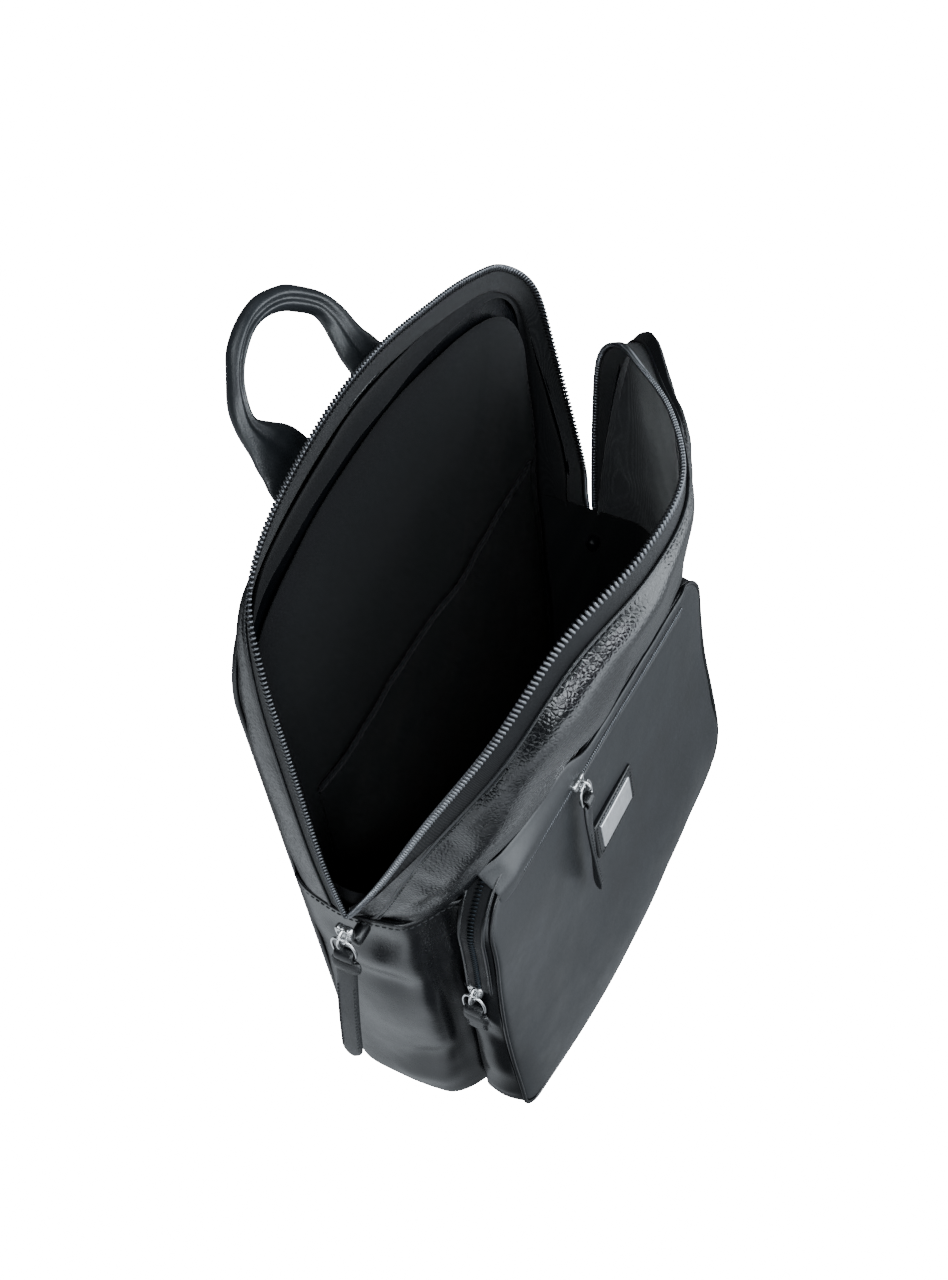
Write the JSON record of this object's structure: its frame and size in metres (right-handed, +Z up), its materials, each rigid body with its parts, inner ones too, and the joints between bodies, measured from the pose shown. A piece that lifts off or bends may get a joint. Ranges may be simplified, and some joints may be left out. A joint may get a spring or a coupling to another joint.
{
  "type": "leather backpack",
  "caption": "Soft black leather backpack standing with its main zip open, zipped front pocket, rolled handle and padded shoulder straps.",
  "frame": {"origin": "on the ground at the centre of the base", "axes": "+Z up, -Y towards the front pocket, +Y towards the shoulder straps, +X towards the side opposite the main zip slider"},
  "size_m": [0.335, 0.2182, 0.4553],
  "materials": {
    "shell_leather": "soft black leather, satin",
    "yoke_leather": "grained black leather, soft gloss",
    "pocket_leather": "smooth black leather, matte gloss",
    "trim_leather": "black leather edge, satin",
    "handle_leather": "rolled grained black leather, satin",
    "strap_leather": "padded grained black leather, satin",
    "pull_leather": "folded black leather strip, satin",
    "lining": "dark woven lining, matte",
    "zip_tape": "woven zip tape, matte",
    "zip_coil": "gunmetal coil, satin",
    "zip_metal": "polished nickel",
    "silver_plate": "satin silver, blank",
    "webbing": "ribbed webbing, matte",
    "foam": "grey foam, matte",
    "board": "stiffener board, matte",
    "rope_core": "cotton rope, matte"
  },
  "bodies": {
    "bag": {"back_foam": "foam", "back_lining": "lining", "back_panel": "shell_leather", "back_zip_coil": "zip_coil", "back_zip_tape": "zip_tape", "bottom_board": "board", "bottom_panel": "shell_leather", "front_facing": "shell_leather", "front_panel": "shell_leather", "gusset_lining": "lining", "handle_tabs": "handle_leather", "label_patch": "trim_leather", "label_plate": "silver_plate", "laptop_sleeve": "lining", "left_side_panel": "shell_leather", "pocket_face": "pocket_leather", "pocket_gusset": "shell_leather", "pocket_piping": "trim_leather", "pocket_zip_coil": "zip_coil", "pocket_zip_tape": "zip_tape", "right_front_gusset": "yoke_leather", "right_side_panel": "shell_leather", "slot_zip_coil": "zip_coil", "slot_zip_tape": "zip_tape", "strap_anchors": "trim_leather", "upper_back_gusset": "yoke_leather", "zip_stops": "trim_leather"},
    "main_slider": {"main_slider": "zip_metal"},
    "main_ring": {"main_ring": "zip_metal"},
    "main_pull": {"main_pull": "pull_leather"},
    "pocket_slider": {"pocket_slider": "zip_metal"},
    "pocket_ring": {"pocket_ring": "zip_metal"},
    "pocket_pull": {"pocket_pull": "pull_leather"},
    "slot_slider": {"slot_slider": "zip_metal"},
    "slot_ring": {"slot_ring": "zip_metal"},
    "slot_pull": {"slot_pull": "pull_leather"},
    "yoke": {"front_yoke": "yoke_leather", "yoke_lining": "lining", "front_zip_tape": "zip_tape", "front_zip_coil": "zip_coil"},
    "handle": {"handle_grip": "handle_leather", "handle_core": "rope_core"},
    "left_strap": {"left_strap_pad": "strap_leather", "left_webbing": "webbing"},
    "right_strap": {"right_strap_pad": "strap_leather", "right_webbing": "webbing"},
    "left_glide": {"left_tri_glide": "zip_metal"},
    "right_glide": {"right_tri_glide": "zip_metal"}
  },
  "joints": [
    {"name": "mouth", "type": "hinge", "parent": "bag", "child": "yoke", "pos_m": [0, -0.006, 0.252], "axis": [0.9827, 0, 0.185], "range_deg": [-33, 0]},
    {"name": "main_zip_travel", "type": "slide", "parent": "bag", "child": "main_slider", "axis": [0.0458, 0.0916, 0.9947], "range_m": [0, 0.14]},
    {"name": "main_ring_swing", "type": "hinge", "parent": "main_slider", "child": "main_ring", "pos_m": [-0.1712, -0.001, 0.208], "axis": [0, -1, 0], "range_deg": [-100, 0]},
    {"name": "main_pull_swing", "type": "hinge", "parent": "main_ring", "child": "main_pull", "pos_m": [-0.1712, -0.001, 0.196], "axis": [0, -1, 0], "range_deg": [-47, 12]},
    {"name": "pocket_zip_travel", "type": "slide", "parent": "bag", "child": "pocket_slider", "axis": [0.019, 0, 0.9998], "range_m": [0, 0.045]},
    {"name": "pocket_ring_swing", "type": "hinge", "parent": "pocket_slider", "child": "pocket_ring", "pos_m": [-0.1428, -0.052, 0.14013], "axis": [0, -1, 0], "range_deg": [-100, 0]},
    {"name": "pocket_pull_swing", "type": "hinge", "parent": "pocket_ring", "child": "pocket_pull", "pos_m": [-0.14303, -0.052, 0.12813], "axis": [0, -1, 0], "range_deg": [-60, 0]},
    {"name": "slot_zip_travel", "type": "slide", "parent": "bag", "child": "slot_slider", "axis": [1, 0, 0], "range_m": [-0.05, 0.125]},
    {"name": "slot_ring_swing", "type": "hinge", "parent": "slot_slider", "child": "slot_ring", "pos_m": [-0.038, -0.07191, 0.20756], "axis": [1, 0, 0], "range_deg": [-100, 0]},
    {"name": "slot_pull_swing", "type": "hinge", "parent": "slot_ring", "child": "slot_pull", "pos_m": [-0.038, -0.07292, 0.1956], "axis": [1, 0, 0], "range_deg": [-60, 0]},
    {"name": "handle_fold", "type": "hinge", "parent": "bag", "child": "handle", "pos_m": [-0.006, 0.052, 0.382], "axis": [1, 0, 0], "range_deg": [-40, 24]},
    {"name": "left_strap_swing", "type": "hinge", "parent": "bag", "child": "left_strap", "pos_m": [-0.048, 0.046, 0.34], "axis": [-0.2169, 0, -0.9762], "range_deg": [-18, 18]},
    {"name": "left_strap_adjust", "type": "slide", "parent": "left_strap", "child": "left_glide", "axis": [-0.2169, 0, -0.9762], "range_m": [-0.02, 0.025]},
    {"name": "right_strap_swing", "type": "hinge", "parent": "bag", "child": "right_strap", "pos_m": [0.048, 0.046, 0.34], "axis": [0.2169, 0, -0.9762], "range_deg": [-18, 18]},
    {"name": "right_strap_adjust", "type": "slide", "parent": "right_strap", "child": "right_glide", "axis": [0.2169, 0, -0.9762], "range_m": [-0.02, 0.025]}
  ]
}
